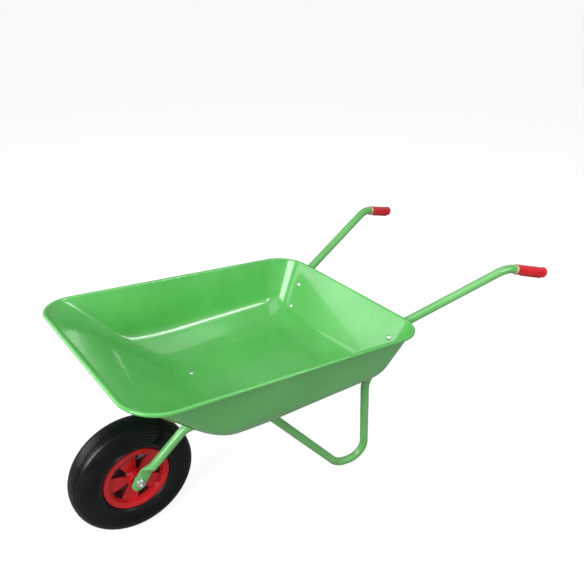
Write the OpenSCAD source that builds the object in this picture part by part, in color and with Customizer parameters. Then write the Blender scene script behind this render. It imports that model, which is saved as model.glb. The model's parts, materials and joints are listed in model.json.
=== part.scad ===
// Single-wheel garden wheelbarrow, millimetres, +Z up.
// The wheel is at -X, the handles are at +X, the axle runs along Y.
// Each side of the frame is one bent steel tube: axle tab, fork, run under the
// tray floor, leg loop, rear wall, handle.  The pressed tray bolts to both tubes.

/* [Tray] */
// Length of the tray over the rim bead
tray_length = 871; // [600:1:1100]
// Width of the tray over the rim bead
tray_width = 640; // [460:1:800]
// Height of the rim above the ground at the wheel end
rim_z_front = 600; // [450:1:750]
// Height of the rim above the ground at the handle end
rim_z_rear = 521; // [400:1:700]
// Height of the inner floor above the ground
floor_z = 345; // [280:1:420]
// Distance the rim reaches ahead of the axle
nose_reach = 91; // [20:1:150]
// Thickness of the tray sheet
sheet = 1.2; // [0.8:0.1:3]
// Radius of the rolled rim bead
bead_r = 5.5; // [3:0.1:9]
// Corner radius of the rim at the wheel end
corner_front = 100; // [40:1:180]
// Corner radius of the rim at the handle end
corner_rear = 95; // [40:1:150]
// Corner radius of the floor at the wheel end
floor_corner_front = 40; // [15:1:100]
// Corner radius of the floor at the handle end
floor_corner_rear = 45; // [15:1:100]
// Horizontal depth of the front wall from bead to flat floor
front_inset = 318; // [200:1:420]
// Horizontal depth of the rear wall from bead to flat floor
rear_inset = 142; // [80:1:240]
// Horizontal depth of each side wall from bead to flat floor
side_inset = 147; // [60:1:220]
// Lift of the floor towards the wheel end, 200 mm into the rising part
floor_lift = 18; // [0:1:60]

/* [Frame] */
// Outer diameter of the frame tube
tube_d = 25.4; // [20:0.1:30]
// Wall thickness of the frame tube
tube_wall = 1.5; // [1:0.1:2.5]
// Distance of each tube's axis inside the tray's edge, taken at the rear wall
tube_inset = 104.5; // [70:0.5:130]
// Distance of the tube's axis outside the middle of its pressed tab, taken at the axle
fork_offset = 8; // [0:0.5:20]
// Rise of the fork tube, degrees
fork_rise = 46.4; // [32:0.05:50]
// Rise of the pressed tab, degrees
tab_rise = 54.5; // [50:0.5:75]
// Distance from the axle to the knee, where tab and fork tube meet
knee_reach = 62; // [50:0.1:100]
// Length of the flat tab, from the axle to where it swells into the tube
tab_length = 36; // [35:1:60]
// Width of the pressed tab
tab_width = 40; // [30:1:44]
// Distance from the axle to where the tab's end starts to round
tab_overhang = 6; // [0:0.5:15]
// Horizontal run of the sloping front leg
leg_reach = 273; // [200:1:340]
// Length of the foot between its two corners
foot_length = 97.4; // [85:0.1:150]
// Distance of the foot's rear corner ahead of the rear wall's top edge
foot_back = 57; // [20:1:110]
// Inward lean of the feet, measured at the ground
foot_lean = 16; // [0:1:60]
// Height of the rear leg's upper corner below the floor
leg_bend_drop = 24; // [20:1:80]
// Height of the corner behind the tray below the rim's bead
handle_bend_drop = 23; // [0:1:60]
// Bend radius of the tube along the frame
bend_r = 76; // [50:1:100]
// Bend radius at the top of the fork
fork_bend_r = 50; // [40:1:70]
// Bend radius of the feet
foot_bend_r = 58; // [40:1:64]
// Gap between the tube and the tray it carries
seat_gap = 0.3; // [0.1:0.1:2]

/* [Handles] */
// Height of the handle's bend above the ground
handle_z = 615.4; // [540:0.1:700]
// Distance of the handle's bend behind the rear wall's top edge
handle_reach = 338; // [250:1:450]
// Outward shift of the handle's bend from the line of the frame tube
handle_spread = 19; // [0:0.5:60]
// Run over which the handle past its bend falls by handle_drop
handle_run = 140; // [120:1:200]
// Fall of the handle past its bend over handle_run
handle_drop = 39.6; // [10:0.1:80]
// Length of bare tube between the handle's bend and the grip's ring
bare_tube = 1.8; // [0.5:0.1:40]
// Bend radius below the grips
handle_bend_r = 95; // [60:1:120]
// Length of the grip
grip_length = 122; // [90:1:125]
// Outer diameter of the grip
grip_d = 30; // [28:0.1:40]
// Diameter of the grip's end flange
grip_end_d = 32; // [30:0.1:44]
// Spacing of the finger ridges under the grip
ridge_pitch = 15; // [10:0.5:25]
// Height of the finger ridges
ridge_h = 3; // [1:0.1:4]
// Width of the pale ring at the grip's mouth
ring_width = 4.5; // [4:0.5:15]

/* [Wheel] */
// Outer diameter of the tyre
tyre_d = 356; // [310:1:400]
// Width of the tyre
tyre_width = 89; // [80:1:100]
// Thickness of the tyre's wall
tyre_wall = 7; // [4:0.5:10]
// Spacing of the grooves in the tread
groove_pitch = 8.2; // [6:0.1:12]
// Depth of the grooves in the tread
groove_depth = 2.2; // [1:0.1:3.5]
// Depth of the grooves round the side of the tyre
side_groove_depth = 1.4; // [0.5:0.1:3]
// Grooves round each side of the tyre
side_grooves = 6; // [1:1:6]
// Wall thickness of the inner tube
skin_t = 1.5; // [1:0.1:3]
// Diameter of the rim flange
flange_d = 196; // [190:1:214]
// Diameter of the bead seat
seat_d = 177; // [170:1:184]
// Width of the rim over its flanges
rim_width = 66; // [60:1:72]
// Diameter of the spoked middle
web_d = 158; // [130:1:162]
// Depth of the spoked middle
web_depth = 42; // [20:1:56]
// Diameter of the hub
hub_d = 46; // [40:1:56]
// Length of the hub
hub_length = 76; // [66:1:84]
// Number of spokes
spoke_count = 5; // [3:1:8]
// Angle taken by one window, degrees
window_angle = 34; // [20:1:40]
// Diameter of the valve's rubber foot
valve_d = 10; // [9:0.5:12]
// Diameter of the valve's stem
stem_d = 8; // [6:0.5:8.5]
// Length of the valve inside the rim
stem_length = 26; // [20:1:34]

/* [Axle and bearings] */
// Diameter of the axle
axle_d = 12; // [10:0.5:13]
// Length of each spacer between the hub and the axle tab
spacer_length = 9.4; // [5:0.1:15]
// Outer diameter of the axle spacers and of the hub sleeve
spacer_d = 18; // [16:0.5:20]
// Outer diameter of a bearing
bearing_d = 32; // [30:0.5:36]
// Width of a bearing
bearing_w = 10; // [8:0.5:14]
// Diameter of a bearing ball
ball_d = 6; // [5:0.1:6.6]
// Balls in a bearing
ball_count = 8; // [6:1:9]

/* [Fasteners] */
// Diameter of the tray bolts
bolt_d = 6; // [5:0.5:8]
// Diameter of a tray bolt's domed head
head_d = 16.5; // [12:0.5:22]
// Height of a tray bolt's domed head
head_h = 3.6; // [2:0.1:6]
// Height of the upper wall bolts below the rim's bead
wall_bolt_drop = 62; // [50:1:80]
// Spacing of the two wall bolts, measured upright
wall_bolt_pitch = 65; // [40:1:75]
// Distance of the floor bolts behind the floor's front edge
floor_bolt_inset = 24; // [15:1:60]
// Across flats of a tray nut
nut_af = 10; // [9:0.5:14]
// Thickness of a tray nut
nut_h = 5; // [3:0.5:8]
// Diameter of a tray washer
washer_d = 14.4; // [12:0.1:20]
// Thickness of a tray washer
washer_t = 1.5; // [0.8:0.1:2.5]
// Across flats of an axle nut
axle_nut_af = 19; // [17:0.5:24]
// Thickness of an axle nut
axle_nut_h = 10; // [6:0.5:14]
// Diameter of an axle washer
axle_washer_d = 24; // [20:0.5:30]
// Thickness of an axle washer
axle_washer_t = 2; // [1:0.1:4]
// Thread showing past each nut
thread_end = 3; // [1:0.5:8]

/* [Node] */
// Piece to draw, or all

/* [Hidden] */

$fn = 48;
hole_gap = 0.2;          // radial gap of a bolt or an axle in its hole
slide_gap = 0.1;         // radial gap of pieces pushed over one another
thread_gap = 0.05;       // radial gap between a nut and its thread
press_gap = 0.02;        // radial gap of a bearing in its seat
face_gap = 0.05;         // gap between faces clamped together
bead_gap = 0.3;          // gap between the tyre's bead and the rim
tube_gap = 0.4;          // gap between the inner tube and the tyre
wheel_r = tyre_d / 2;
tube_r = tube_d / 2;
tab_t = 2 * tube_wall;   // the tab is the tube's two walls pressed together
bend_lap = 1;            // run of each straight into the bend beside it
bend_step = 0.2;         // extra radius of a bend
edge = 1;                // small bevel on turned pieces
left = -1;               // the pusher's left is -Y
right = 1;

// ---- tray surface -------------------------------------------------------
rim_x0 = -nose_reach;
rim_x1 = tray_length - nose_reach;
wall_x0 = rim_x0 + 2 * bead_r;      // inner face of the wall at the bead
wall_x1 = rim_x1 - 2 * bead_r;
wall_y = tray_width / 2 - 2 * bead_r;
lift_from = 330;                    // the floor starts to rise ahead of this
front_straight = 0.80;              // share of each inset taken by the straight wall
rear_straight = 0.675;
side_straight = 0.37;
front_bend = 0.5;                   // level of each wall where its bend ends
rear_bend = 0.25;
side_bend = 0.42;
levels = 13;
corner_steps = 8;
long_steps = 7;
short_steps = 4;

function rim_z(x) = rim_z_front + (rim_z_rear - rim_z_front) * (x - rim_x0) / tray_length;
function base_z(x) = floor_z + floor_lift * pow(max(0, lift_from - x) / 200, 2);
function bend(h, top) = h < top ? 1 - sqrt(1 - pow(1 - h / top, 2)) : 0;
// Inset of a wall at level h (0 floor, 1 rim): a straight part and a bend below `top`.
function inset(h, total, straight, top) =
    total * (straight * (1 - h) + (1 - straight) * bend(h, top));
function corner(cx, cy, r, start) =
    [for (i = [0:corner_steps]) let (a = start + 90 * i / corner_steps)
        [cx + r * cos(a), cy + r * sin(a)]];
function between(p, q, n) = [for (i = [1:n - 1]) p + (q - p) * i / n];
function loop(c1, c2, c3, c4) = concat(
    c1, between(c1[corner_steps], c2[0], long_steps),
    c2, between(c2[corner_steps], c3[0], short_steps),
    c3, between(c3[corner_steps], c4[0], long_steps),
    c4, between(c4[corner_steps], c1[0], short_steps));
function outline(x0, x1, y, rf, rr) = loop(
    corner(x1 - rr, y - rr, rr, 0), corner(x0 + rf, y - rf, rf, 90),
    corner(x0 + rf, rf - y, rf, 180), corner(x1 - rr, rr - y, rr, 270));
function level_outline(h) = outline(
    wall_x0 + inset(h, front_inset, front_straight, front_bend),
    wall_x1 - inset(h, rear_inset, rear_straight, rear_bend),
    wall_y - inset(h, side_inset, side_straight, side_bend),
    floor_corner_front + (corner_front - 2 * bead_r - floor_corner_front) * h * h,
    rear_corner(h));
function rear_corner(h) = floor_corner_rear + (corner_rear - 2 * bead_r - floor_corner_rear) * h;
rim_line = [for (p = level_outline(1)) rim_z(p.x) - bead_r];
function level_ring(h) = let (line = level_outline(h))
    [for (j = [0:len(line) - 1]) let (b = base_z(line[j].x))
        [line[j].x, line[j].y, b + (rim_line[j] - b) * h]];
floor_mid = (wall_x0 + front_inset + wall_x1 - rear_inset) / 2;
function floor_ring(s) = let (mid = [floor_mid, 0])
    [for (p = level_outline(0)) let (q = mid + (p - mid) * s) [q.x, q.y, base_z(q.x)]];
function bead_ring(a) = let (out = bead_r * (1 + cos(a)))
    [for (p = outline(wall_x0 - out, wall_x1 + out, wall_y + out,
                      corner_front - 2 * bead_r + out, corner_rear - 2 * bead_r + out))
        [p.x, p.y, rim_z(p.x) - bead_r + bead_r * sin(a)]];
function unit(v) = v / norm(v);

inner = concat([for (s = [0.35, 0.75]) floor_ring(s)],
               [for (i = [0:levels]) level_ring(pow(i / levels, 1.8))]);
ring_n = len(inner[0]);
// Outer face: each inner point moved one sheet thickness along the local normal.
function shifted(k, j) = let (
    along = inner[k][(j + 1) % ring_n] - inner[k][(j + ring_n - 1) % ring_n],
    up = inner[min(k + 1, len(inner) - 1)][j] - inner[max(k - 1, 0)][j])
    inner[k][j] + sheet * unit(cross(along, up));
outer = [for (k = [len(inner) - 2:-1:0]) [for (j = [0:ring_n - 1]) shifted(k, j)]];
bead = [for (a = [140:-40:-140]) bead_ring(a)];
skin = concat(inner, bead, outer);

// ---- frame path ---------------------------------------------------------
tab_in = hub_length / 2 + spacer_length + 2 * face_gap;     // inner face of the tab
tab_out = tab_in + tab_t;
tab_y = tab_in + tab_t / 2;
splay_start = tab_y + fork_offset;          // tube axis from the middle plane, at the axle
splay = (tray_width / 2 - tube_inset - splay_start) / wall_x1;
function at(side, x, z, in = 0) = [x, side * (splay_start + splay * x - in), z];

wall_top = rim_z(wall_x1) - bead_r;
wall_slope = atan((wall_top - floor_z) / (rear_inset * rear_straight));
wall_off = (sheet + seat_gap + tube_r) / sin(wall_slope);
// Tube axis behind the rear wall, at height z.
function behind_wall(z) = wall_x1 + wall_off - (wall_top - z) / tan(wall_slope);

run_z = floor_z - sheet - seat_gap - tube_r;
foot_z = tube_r + bend_step;
leg_bend_z = floor_z - leg_bend_drop;
handle_bend_z = wall_top - handle_bend_drop;
knee = [knee_reach * cos(tab_rise), wheel_r + knee_reach * sin(tab_rise)];
floor_bolt_x = wall_x0 + front_inset + floor_bolt_inset;
foot_x = wall_x1 - foot_back;
leg_bend_x = behind_wall(leg_bend_z);
handle_x = wall_x1 + handle_reach;
handle_bend_x = behind_wall(handle_bend_z);
// Corner points of each tube: x, height, inward shift, bend radius.
corners = [[knee.x + (run_z - knee.y) / tan(fork_rise), run_z, 0, fork_bend_r],
           [foot_x - foot_length - leg_reach, run_z, 0, bend_r],
           [foot_x - foot_length, foot_z, foot_lean, foot_bend_r],
           [foot_x, foot_z, foot_lean, foot_bend_r],
           [leg_bend_x, leg_bend_z, 0, bend_r],
           [handle_bend_x, handle_bend_z, 0, bend_r],
           [handle_x, handle_z, -handle_spread, handle_bend_r]];
function knee_at(side) = at(side, knee.x, knee.y);
grip_cap = 6;                       // closed end of the grip, past the tube's end
grip_edge = 2;                      // bevel of the grip's end flange
grip_mouth = grip_length - grip_cap;        // measured from the tube's end
function tail_dir(side) = unit([handle_run, side * splay * handle_run, -handle_drop]);
function handle_corner(side) = at(side, handle_x, handle_z, -handle_spread);
handle_turn = acos(tail_dir(right)
    * unit(handle_corner(right) - at(right, handle_bend_x, handle_bend_z)));
tail = handle_bend_r * tan(handle_turn / 2) + bare_tube + ring_width + slide_gap + grip_mouth;
function tube_end(side) = handle_corner(side) + tail * tail_dir(side);
function path(side) = concat([knee_at(side)],
    [for (c = corners) at(side, c[0], c[1], c[2])], [tube_end(side)]);
radii = [for (c = corners) c[3]];
// The bore starts past the squeezed end and runs out through the tube's far end.
squeeze_run = 8;
function bore_path(side) = let (p = path(side), n = len(p)) [for (i = [0:n - 1])
    i == 0 ? p[0] + unit(p[1] - p[0]) * squeeze_run :
    i == n - 1 ? p[i] + unit(p[i] - p[i - 1]) : p[i]];

// The whole part is shifted so that its bounding box is centred over the origin.
grip_slant = tail_dir(right).x;
reach = tube_end(right).x + grip_cap * grip_slant
    + (grip_end_d / 2 - grip_edge) * sqrt(1 - grip_slant * grip_slant);
mid_x = (reach - wheel_r) / 2;

// ---- colours ------------------------------------------------------------
green = [0.36, 0.70, 0.36];
red = [0.80, 0.10, 0.12];
black = [0.06, 0.06, 0.07];
steel = [0.75, 0.76, 0.78];
pale = [0.85, 0.80, 0.70];

// ---- helpers ------------------------------------------------------------
module place() translate([-mid_x, 0, 0]) children();

// Moves children so that local Z points along `axis` and local X along `side`.
module aim(origin, axis, side) {
    w = unit(axis);
    u = unit(side - w * (side * w));
    v = cross(w, u);
    multmatrix([[u.x, v.x, w.x, origin.x],
                [u.y, v.y, w.y, origin.y],
                [u.z, v.z, w.z, origin.z],
                [0, 0, 0, 1]]) children();
}

// Round bar along corner points `p` with bend radii `br` at the inner corners.
// The straights run a little way into the bends, which are a hair thicker.
module bent_bar(p, br, r) {
    n = len(p);
    cut = [for (i = [0:n - 1]) i == 0 || i == n - 1 ? 0 :
        let (a = unit(p[i] - p[i - 1]), b = unit(p[i + 1] - p[i]))
            br[i - 1] * tan(acos(a * b) / 2) - bend_lap];
    for (i = [0:n - 2]) {
        d = unit(p[i + 1] - p[i]);
        aim(p[i] + d * cut[i], d, [0, 1, 0])
            cylinder(r = r, h = norm(p[i + 1] - p[i]) - cut[i] - cut[i + 1]);
    }
    for (i = [1:n - 2]) {
        a = unit(p[i] - p[i - 1]);
        b = unit(p[i + 1] - p[i]);
        inward = unit(b - a * (a * b));
        centre = p[i] - a * (cut[i] + bend_lap) + inward * br[i - 1];
        aim(centre, cross(-inward, a), -inward) rotate_extrude(angle = acos(a * b))
            translate([br[i - 1], 0]) circle(r + bend_step);
    }
}

module y_tube(r, bore, y0, y1) translate([0, y0, wheel_r]) rotate([-90, 0, 0]) difference() {
    cylinder(r = r, h = y1 - y0);
    translate([0, 0, -1]) cylinder(r = bore, h = y1 - y0 + 2);
}

// Places children on the axle, `y` from the middle plane, with local Z pointing outwards.
module on_axle(side, y) place() translate([0, side * y, wheel_r]) rotate([-side * 90, 0, 0]) children();

// Profile drawn as [radius, y] turned about the axle.
module turned() translate([0, 0, wheel_r]) rotate([-90, 0, 0]) rotate_extrude($fn = 96) children();

// ---- tray and frame -----------------------------------------------------
bolt_clear_r = bolt_d / 2 + hole_gap;
wall_dir = [sin(wall_slope), 0, -cos(wall_slope)];    // out through the rear wall
wall_seat = tube_r + seat_gap + sheet;                // tube axis to the wall's inner face
hole_run = 8;                                         // half length of a hole's cutter

wall_bolt_z = [for (i = [0, 1]) wall_top - wall_bolt_drop - i * wall_bolt_pitch];
// How far the rear wall has curved inwards, along its normal, `y` from the middle plane.
function corner_rise(y, z) = let (
    h = (z - floor_z) / (wall_top - floor_z),
    r = rear_corner(h),
    past = y - (wall_y - inset(h, side_inset, side_straight, side_bend) - r))
    past > 0 ? (r - sqrt(r * r - past * past)) * sin(wall_slope) : 0;

// $seat is the distance from the tube's axis to the face under the bolt's head.
module at_wall_bolts() for (side = [left, right], z = wall_bolt_z) {
    p = at(side, behind_wall(z), z);
    $seat = wall_seat + corner_rise(abs(p.y) + head_d / 2, z) + 3 * face_gap;
    aim(p, wall_dir, [0, 1, 0]) children();
}
module at_floor_bolts() for (side = [left, right]) {
    $seat = base_z(floor_bolt_x - head_d / 2) - run_z + 3 * face_gap;
    aim(at(side, floor_bolt_x, run_z), [0, 0, -1], [0, 1, 0]) children();
}

module tray() color(green) place() difference() {
    rings = len(skin);
    polyhedron(
        points = concat([for (r = skin) each r],
            [[floor_mid, 0, floor_z], [floor_mid, 0, floor_z - sheet]]),
        faces = concat(
            [for (k = [0:rings - 2], j = [0:ring_n - 1]) let (m = (j + 1) % ring_n)
                each [[k * ring_n + j, (k + 1) * ring_n + m, k * ring_n + m],
                      [k * ring_n + j, (k + 1) * ring_n + j, (k + 1) * ring_n + m]]],
            [for (j = [0:ring_n - 1]) [rings * ring_n, j, (j + 1) % ring_n]],
            [for (j = [0:ring_n - 1])
                [rings * ring_n + 1, (rings - 1) * ring_n + (j + 1) % ring_n,
                 (rings - 1) * ring_n + j]]));
    at_wall_bolts() translate([0, 0, -wall_seat - hole_run])
        cylinder(r = bolt_clear_r, h = 2 * hole_run);
    at_floor_bolts() translate([0, 0, -wall_seat - hole_run])
        cylinder(r = bolt_clear_r, h = 2 * hole_run);
}

// Local X runs along the tab from the axle, local Z through its thickness.
module on_tab(side) translate([0, side * tab_y, wheel_r]) rotate([0, -tab_rise, 0]) rotate([90, 0, 0])
    children();

module frame_tube_left() color(green) place() difference() {
    union() {
        bent_bar(path(left), radii, tube_r);
        // pressed flat end
        on_tab(left) {
            translate([-tab_overhang, 0, -tab_t / 2]) cylinder(d = tab_width, h = tab_t);
            translate([-tab_overhang, -tab_width / 2, -tab_t / 2])
                cube([tab_overhang + tab_length, tab_width, tab_t]);
        }
        // the tube is squeezed from round to flat here
        hull() {
            aim(knee_at(left), at(left, corners[0][0], run_z) - knee_at(left), [0, 1, 0])
                cylinder(r = tube_r - 0.1, h = 2, $fn = 32);
            on_tab(left) translate([tab_length - 2, 0.1 - tab_width / 2, 0.05 - tab_t / 2])
                cube([2, tab_width - 0.2, tab_t - 0.1]);
        }
    }
    bent_bar(bore_path(left), radii, tube_r - tube_wall);
    on_tab(left) translate([0, 0, -hole_run]) cylinder(r = axle_d / 2 + hole_gap, h = 2 * hole_run);
    at_wall_bolts() translate([0, 0, -tube_d]) cylinder(r = bolt_clear_r, h = 2 * tube_d);
    at_floor_bolts() translate([0, 0, -tube_d]) cylinder(r = bolt_clear_r, h = 2 * tube_d);
}
module frame_tube_right() mirror([0, 1, 0]) frame_tube_left();

// ---- grips --------------------------------------------------------------
grip_bore = tube_r + slide_gap;
lip_w = 6;                                  // width of the grip's raised mouth
lip_h = 0.8;
ridge_from = 8;
ridge_w = 7;
ridge_arc = 140;                            // how far round the grip a ridge goes, in degrees
pad_h = 0.3;                                // the ridges' pad stands this much out of the grip
pad_rim = 1;                                // and runs this much past the first and last ridge
pad_root = 0.6;
ridge_count = floor((grip_mouth - ridge_from - ridge_w - 3 * lip_w) / ridge_pitch) + 1;

// Grip pieces are drawn along local Z from the tube's end back towards the bend.
module on_grip(side) place() aim(tube_end(side), -tail_dir(side), [0, 0, 1]) children();

module grip(side) color(red) on_grip(side) {
    r = grip_d / 2;
    end_r = grip_end_d / 2;
    rotate_extrude() polygon([
        [0, -grip_cap], [end_r - grip_edge, -grip_cap], [end_r, grip_edge - grip_cap],
        [end_r, 1], [r, 4], [r, grip_mouth - lip_w - 2],
        [r + lip_h, grip_mouth - lip_w], [r + lip_h, grip_mouth],
        [grip_bore, grip_mouth], [grip_bore, -slide_gap], [0, -slide_gap]]);
    // finger ridges, on a slightly raised pad on the underside
    ridges = [for (i = [0:ridge_count - 1]) let (z = ridge_from + i * ridge_pitch) each
        [[r + pad_h, z], [r + ridge_h, z + 0.35 * ridge_w],
         [r + ridge_h, z + 0.65 * ridge_w], [r + pad_h, z + ridge_w]]];
    pad_end = ridge_from + (ridge_count - 1) * ridge_pitch + ridge_w + pad_rim;
    rotate([0, 0, 180 - ridge_arc / 2]) rotate_extrude(angle = ridge_arc) polygon(concat(
        [[r - pad_root, ridge_from - pad_rim], [r + pad_h, ridge_from - pad_rim]], ridges,
        [[r + pad_h, pad_end], [r - pad_root, pad_end]]));
}
module grip_left() grip(left);
module grip_right() mirror([0, 1, 0]) grip_left();

module grip_ring(side) color(pale) on_grip(side)
    translate([0, 0, grip_mouth + slide_gap]) rotate_extrude() polygon([
        [grip_bore, 0], [grip_d / 2 - 0.3, 0], [grip_d / 2 - 0.3, ring_width - 2],
        [grip_bore + 0.7, ring_width], [grip_bore, ring_width]]);
module grip_ring_left() grip_ring(left);
module grip_ring_right() grip_ring(right);

// ---- axle ---------------------------------------------------------------
axle_bore = axle_d / 2 + slide_gap;
washer_y = tab_out + face_gap;
axle_nut_y = washer_y + axle_washer_t + face_gap;
axle_end = axle_nut_y + axle_nut_h + thread_end;
module axle() color(steel) {
    on_axle(right, edge - axle_end) cylinder(r = axle_d / 2, h = 2 * (axle_end - edge));
    for (s = [left, right]) on_axle(s, axle_end - edge)
        cylinder(r1 = axle_d / 2, r2 = axle_d / 2 - edge, h = edge);
}
module axle_nuts() color(steel) for (s = [left, right]) on_axle(s, axle_nut_y)
    hex_nut(axle_nut_af, axle_nut_h, axle_d, s * 12);
module axle_washers() color(steel) for (s = [left, right]) on_axle(s, washer_y)
    flat_washer(axle_washer_d, axle_washer_t, axle_d);
module axle_spacer(side) color(steel) place() mirror([0, side == left ? 1 : 0, 0])
    y_tube(spacer_d / 2, axle_bore, hub_length / 2 + face_gap, hub_length / 2 + face_gap + spacer_length);
module axle_spacer_left() axle_spacer(left);
module axle_spacer_right() axle_spacer(right);
sleeve_half = hub_length / 2 - bearing_w - face_gap;
module hub_sleeve() color(steel) place() y_tube(spacer_d / 2, axle_bore, -sleeve_half, sleeve_half);

// ---- bearings -----------------------------------------------------------
ball_pitch = (bearing_d + axle_d) / 4;
race_r = ball_d / 2 + 0.05;                // the balls run in grooves this round
ring_out = ball_pitch + ball_d / 3;        // inner face of the outer ring
ring_in = ball_pitch - ball_d / 3;         // outer face of the inner ring
module bearing_at(side) on_axle(side, (hub_length - bearing_w) / 2) children();
module race(side, r0, r1) color(steel) bearing_at(side) rotate_extrude($fn = 64) difference() {
    translate([r0, -bearing_w / 2]) square([r1 - r0, bearing_w]);
    translate([ball_pitch, 0]) circle(race_r);
}
module bearing_inner_left() race(left, axle_d / 2 + thread_gap, ring_in);
module bearing_inner_right() race(right, axle_d / 2 + thread_gap, ring_in);
module bearing_outer_left() race(left, ring_out, bearing_d / 2);
module bearing_outer_right() race(right, ring_out, bearing_d / 2);
module balls(side) color(steel) bearing_at(side) for (i = [0:ball_count - 1])
    rotate([0, 0, i * 360 / ball_count]) translate([ball_pitch, 0, 0]) sphere(d = ball_d, $fn = 32);
module bearing_balls_left() balls(left);
module bearing_balls_right() balls(right);

// ---- wheel --------------------------------------------------------------
flange_r = flange_d / 2;
seat_r = seat_d / 2;
web_r = web_d / 2;
rim_y = rim_width / 2;
hub_y = hub_length / 2;
well_r = seat_r - 4;                // the drop in the middle of the rim
shoulder = 4;                       // step that stops each bearing
window_edge = 3;                    // material left outside a window
window_foot = 5;                    // material left around the hub
window_start = 70;                  // angle of the first window, above +X
valve_angle = window_start;         // the valve stands in that window

module window(a) rotate([0, 0, a]) linear_extrude(web_depth + 2, center = true) polygon(concat(
    [for (i = [-4:4]) let (t = i * window_angle / 8) (web_r - window_edge) * [cos(t), sin(t)]],
    [for (i = [2:-1:-2]) let (t = i * window_angle * 0.175)
        (hub_d / 2 + window_foot) * [cos(t), sin(t)]]));

// Half profile of the rim as [radius, distance from the middle plane], hub to well.
rim_half = [
    [bearing_d / 2 - shoulder, hub_y - bearing_w], [bearing_d / 2 + press_gap, hub_y - bearing_w],
    [bearing_d / 2 + press_gap, hub_y], [hub_d / 2 - edge, hub_y], [hub_d / 2, hub_y - edge],
    [hub_d / 2, web_depth / 2], [web_r, web_depth / 2], [web_r, rim_y - 4], [web_r + 3, rim_y - 1],
    [flange_r - 3, rim_y], [flange_r, rim_y - 2], [flange_r, rim_y - 4], [flange_r - 2, rim_y - 5],
    [seat_r + 2, rim_y - 6], [seat_r, rim_y - 8], [seat_r - 1, rim_y - 14], [well_r, rim_y - 18]];
// A profile that ends on the middle plane, joined to its mirror image.
function both_sides(p) = concat(p, [for (i = [len(p) - 1:-1:0]) if (p[i][1] > 0.001) [p[i][0], -p[i][1]]]);
module on_valve() place() translate([0, 0, wheel_r]) rotate([0, 90 - valve_angle, 0])
    translate([0, 0, well_r]) children();
module wheel_rim() color(red) difference() {
    place() turned() polygon(both_sides(rim_half));
    place() translate([0, 0, wheel_r]) rotate([90, 0, 0])
        for (i = [0:spoke_count - 1]) window(window_start + i * 360 / spoke_count);
    on_valve() translate([0, 0, web_r - window_edge - well_r - 2])
        cylinder(r = valve_d / 2 + hole_gap, h = well_r - web_r + window_edge + 10);
}

// Tyre: an arc from the widest point over the crown, `shrink` inside the outer face.
tyre_half = tyre_width / 2;
belly_r = (seat_r + wheel_r) / 2;
function arc(shrink) = [for (t = [0:7.5:90])
    [belly_r + (wheel_r - shrink - belly_r) * pow(sin(t), 0.9), (tyre_half - shrink) * pow(cos(t), 0.75)]];
function crown_r(y) = let (c = pow(abs(y) / tyre_half, 1 / 0.75))
    belly_r + (wheel_r - belly_r) * pow(1 - c * c, 0.45);
function flank(share) = flange_r + (belly_r - flange_r) * share;
tyre_outer = concat(
    [[seat_r - 1 + bead_gap, rim_y - 14], [seat_r + bead_gap, rim_y - 8 - bead_gap],
     [seat_r + 2 + bead_gap, rim_y - 6 - bead_gap], [flange_r - 2, rim_y - 5 - bead_gap],
     [flange_r + bead_gap, rim_y - 4 - bead_gap], [flange_r + 1, rim_y - 2], [flank(0.07), rim_y + 1],
     [flank(0.28), rim_y + (tyre_half - rim_y) * 0.57], [flank(0.57), rim_y + (tyre_half - rim_y) * 0.91]],
    arc(0));
tyre_inner = concat(
    [[seat_r - 6, rim_y - 14], [seat_r + 5, rim_y - 16], [flank(0.23), tyre_half - 5 - tyre_wall],
     [flank(0.77), tyre_half - tyre_wall]], arc(tyre_wall));
groove_w = 2.2;
groove_n = floor((tyre_half - 8) / groove_pitch);   // grooves on each side of the middle one
side_groove_top = wheel_r - 2.15 * groove_pitch;    // radius of the outermost side groove
module tyre() color(black) place() turned() difference() {
    polygon(both_sides(tyre_outer));
    polygon(both_sides(tyre_inner));
    for (k = [-groove_n:groove_n])
        translate([crown_r(k * groove_pitch) - groove_depth, k * groove_pitch - groove_w / 2])
            square([groove_depth + 3, groove_w]);
    for (k = [0:side_grooves - 1], flip = [0, 1]) {
        r = side_groove_top - k * groove_pitch;
        mirror([0, flip]) translate([r - groove_w / 2, lookup(r, tyre_outer) - side_groove_depth])
            square([groove_w, side_groove_depth + 3]);
    }
}

// Inner tube: follows the inside of the tyre and the well of the rim.
function tube_half(shrink) = concat(
    [[well_r + tube_gap + shrink, rim_y - 19 - shrink], [seat_r + 6 + shrink, rim_y - 17 - shrink],
     [flank(0.26), tyre_half - 6 - tyre_wall - shrink],
     [flank(0.77), tyre_half - tyre_wall - tube_gap - shrink]],
    arc(tyre_wall + tube_gap + shrink));
module inner_tube() color(black) place() turned() difference() {
    polygon(both_sides(tube_half(0)));
    polygon(both_sides(tube_half(skin_t)));
}

cap_d = stem_d + 1;
cap_length = 13.5;
module valve_stem() color(black) on_valve() {
    translate([0, 0, -stem_length]) cylinder(d = stem_d - 1.5, h = 8);
    translate([0, 0, 8 - stem_length])
        cylinder(d1 = stem_d, d2 = valve_d, h = stem_length - 8 + tube_gap / 2);
}
module valve_cap() color(black) on_valve() translate([0, 0, -stem_length - 6]) difference() {
    cylinder(d = cap_d, h = cap_length);
    translate([0, 0, 5.8]) cylinder(d = stem_d - 1.3, h = cap_length);
}

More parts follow.
